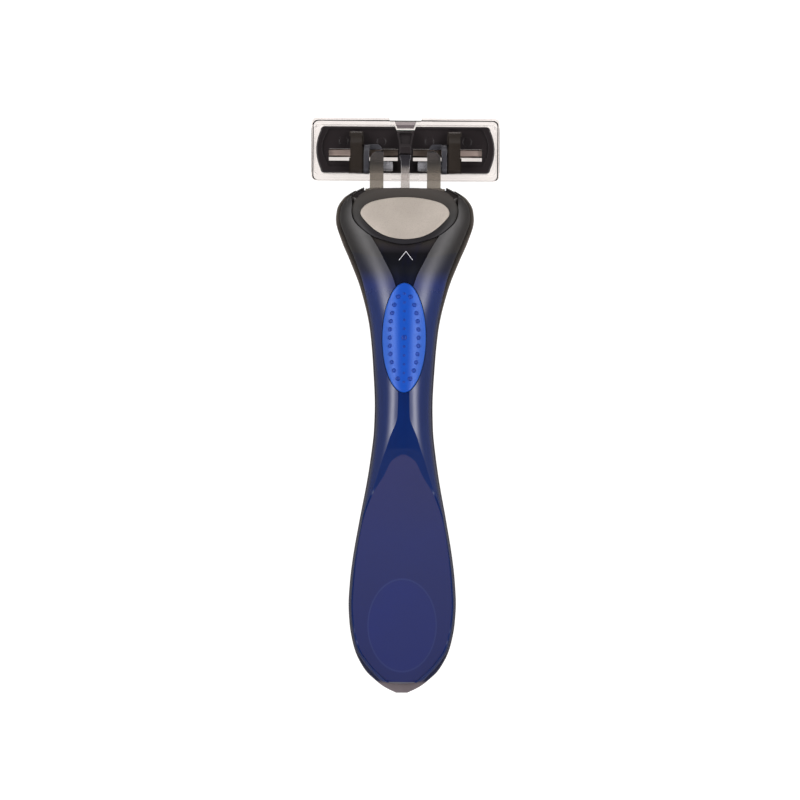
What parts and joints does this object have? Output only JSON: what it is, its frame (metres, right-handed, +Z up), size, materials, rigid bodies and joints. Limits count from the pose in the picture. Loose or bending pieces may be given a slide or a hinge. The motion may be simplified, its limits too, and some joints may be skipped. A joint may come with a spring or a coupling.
{
  "type": "cartridge razor",
  "caption": "Wet-shave razor with a waisted translucent handle, thumb grip, push-forward release button, tilting blade cartridge and clear clip-on blade guard.",
  "frame": {"origin": "on the table under the middle of the bounding box, with the razor lying thumb side up on its blade guard and butt", "axes": "+Y from the butt to the cartridge, +Z up out of the thumb side, +X to the right seen from above"},
  "size_m": [0.0444, 0.1355, 0.0203],
  "materials": {
    "smoke_plastic": "glossy smoke tint, translucent",
    "blue_plastic": "glossy dark blue",
    "blue_rubber": "soft, satin",
    "grey_clear_plastic": "grey tint, translucent",
    "silver_paint": "matte silver",
    "dark_plastic": "matte",
    "spring_steel": "drawn wire",
    "clear_plastic": "water clear",
    "black_plastic": "black, semi-gloss",
    "blade_steel": "ground and coated",
    "support_steel": "rolled strip",
    "guard_rubber": "soft",
    "lubricant": "waxy"
  },
  "bodies": {
    "handle": {"handle_upper_shell": "smoke_plastic", "handle_lower_shell": "smoke_plastic", "handle_core": "blue_plastic", "grip_insert": "blue_rubber", "yoke": "grey_clear_plastic", "button_spring": "spring_steel", "plunger_spring": "spring_steel"},
    "release": {"release_button": "smoke_plastic", "button_badge": "silver_paint", "ejector_fork": "dark_plastic"},
    "plunger_body": {"plunger": "clear_plastic"},
    "journals": {"journal_left": "grey_clear_plastic", "journal_right": "grey_clear_plastic"},
    "cartridge": {"cartridge_frame": "black_plastic", "bearing_bracket_left": "black_plastic", "bearing_bracket_right": "black_plastic", "centre_cam": "black_plastic", "blade_1": "blade_steel", "blade_2": "blade_steel", "blade_3": "blade_steel", "blade_support_1": "support_steel", "blade_support_2": "support_steel", "blade_support_3": "support_steel", "guard_bar": "guard_rubber", "lubricating_strip": "lubricant"},
    "guard": {"protective_cap": "clear_plastic"}
  },
  "joints": [
    {"name": "release_slide", "type": "slide", "parent": "handle", "child": "release", "axis": [0, 1, 0], "range_m": [0, 0.0044], "stiffness_N_per_m": 400, "deforming": ["button_spring"]},
    {"name": "cartridge_tilt", "type": "hinge", "parent": "handle", "child": "journals", "pos_m": [0, 0.056, 0.0081], "axis": [1, 0, 0], "range_deg": [0, 35], "stiffness_Nm_per_rad": 0.02},
    {"name": "plunger_slide", "type": "slide", "parent": "handle", "child": "plunger_body", "axis": [0, 1, 0], "range_m": [-0.0014, 0], "deforming": ["plunger_spring"]},
    {"name": "cartridge_slide", "type": "slide", "parent": "journals", "child": "cartridge", "axis": [0, 1, 0], "range_m": [0, 0.012]},
    {"name": "guard_slide", "type": "slide", "parent": "cartridge", "child": "guard", "axis": [0, 0, -1], "range_m": [0, 0.008]}
  ],
  "couplings": [
    {"joint": "plunger_slide", "follows": "cartridge_tilt", "m_per_rad": -0.0022}
  ]
}
